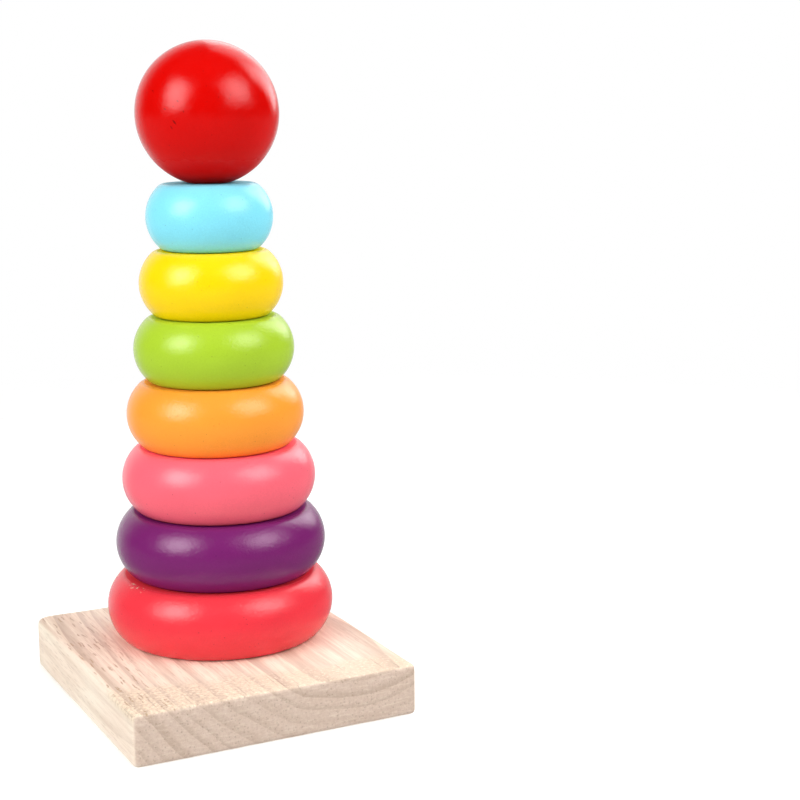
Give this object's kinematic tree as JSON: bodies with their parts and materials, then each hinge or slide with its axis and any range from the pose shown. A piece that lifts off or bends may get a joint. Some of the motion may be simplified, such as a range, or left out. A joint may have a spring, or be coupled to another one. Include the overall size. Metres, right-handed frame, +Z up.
{
  "type": "stacking ring toy",
  "caption": "Wooden stacking toy: flat rectangular base with an upright peg, bored round rings that get smaller upwards, and a ball that caps the peg.",
  "frame": {"origin": "centre of the base plate's underside, on the surface that the toy stands on", "axes": "+Z up along the peg, -Y towards the front, which is the base's end-grain face with the wider margin in front of the rings, +X to the toy's own left as it faces the viewer, which is the viewer's right"},
  "size_m": [0.091, 0.103, 0.2052],
  "materials": {
    "bare_wood": "sanded, unfinished",
    "coral_paint": "gloss paint on wood",
    "purple_paint": "gloss paint on wood",
    "pink_paint": "gloss paint on wood",
    "orange_paint": "gloss paint on wood",
    "green_paint": "gloss paint on wood",
    "yellow_paint": "gloss paint on wood",
    "blue_paint": "gloss paint on wood",
    "red_paint": "gloss paint on wood"
  },
  "bodies": {
    "base": {"base_plate": "bare_wood", "peg": "bare_wood"},
    "coral_ring": {"coral_ring": "coral_paint"},
    "purple_ring": {"purple_ring": "purple_paint"},
    "pink_ring": {"pink_ring": "pink_paint"},
    "orange_ring": {"orange_ring": "orange_paint"},
    "green_ring": {"green_ring": "green_paint"},
    "yellow_ring": {"yellow_ring": "yellow_paint"},
    "blue_ring": {"blue_ring": "blue_paint"},
    "ball": {"top_ball": "red_paint"}
  },
  "joints": [
    {"name": "coral_lift", "type": "slide", "parent": "base", "child": "coral_ring", "axis": [0, 0, 1], "range_m": [0, 0.174]},
    {"name": "purple_lift", "type": "slide", "parent": "coral_ring", "child": "purple_ring", "axis": [0, 0, 1], "range_m": [0, 0.153]},
    {"name": "pink_lift", "type": "slide", "parent": "purple_ring", "child": "pink_ring", "axis": [0, 0, 1], "range_m": [0, 0.132]},
    {"name": "orange_lift", "type": "slide", "parent": "pink_ring", "child": "orange_ring", "axis": [0, 0, 1], "range_m": [0, 0.111]},
    {"name": "green_lift", "type": "slide", "parent": "orange_ring", "child": "green_ring", "axis": [0, 0, 1], "range_m": [0, 0.09]},
    {"name": "yellow_lift", "type": "slide", "parent": "green_ring", "child": "yellow_ring", "axis": [0, 0, 1], "range_m": [0, 0.07]},
    {"name": "blue_lift", "type": "slide", "parent": "yellow_ring", "child": "blue_ring", "axis": [0, 0, 1], "range_m": [0, 0.049]},
    {"name": "ball_lift", "type": "slide", "parent": "blue_ring", "child": "ball", "axis": [0, 0, 1], "range_m": [0, 0.028]}
  ]
}
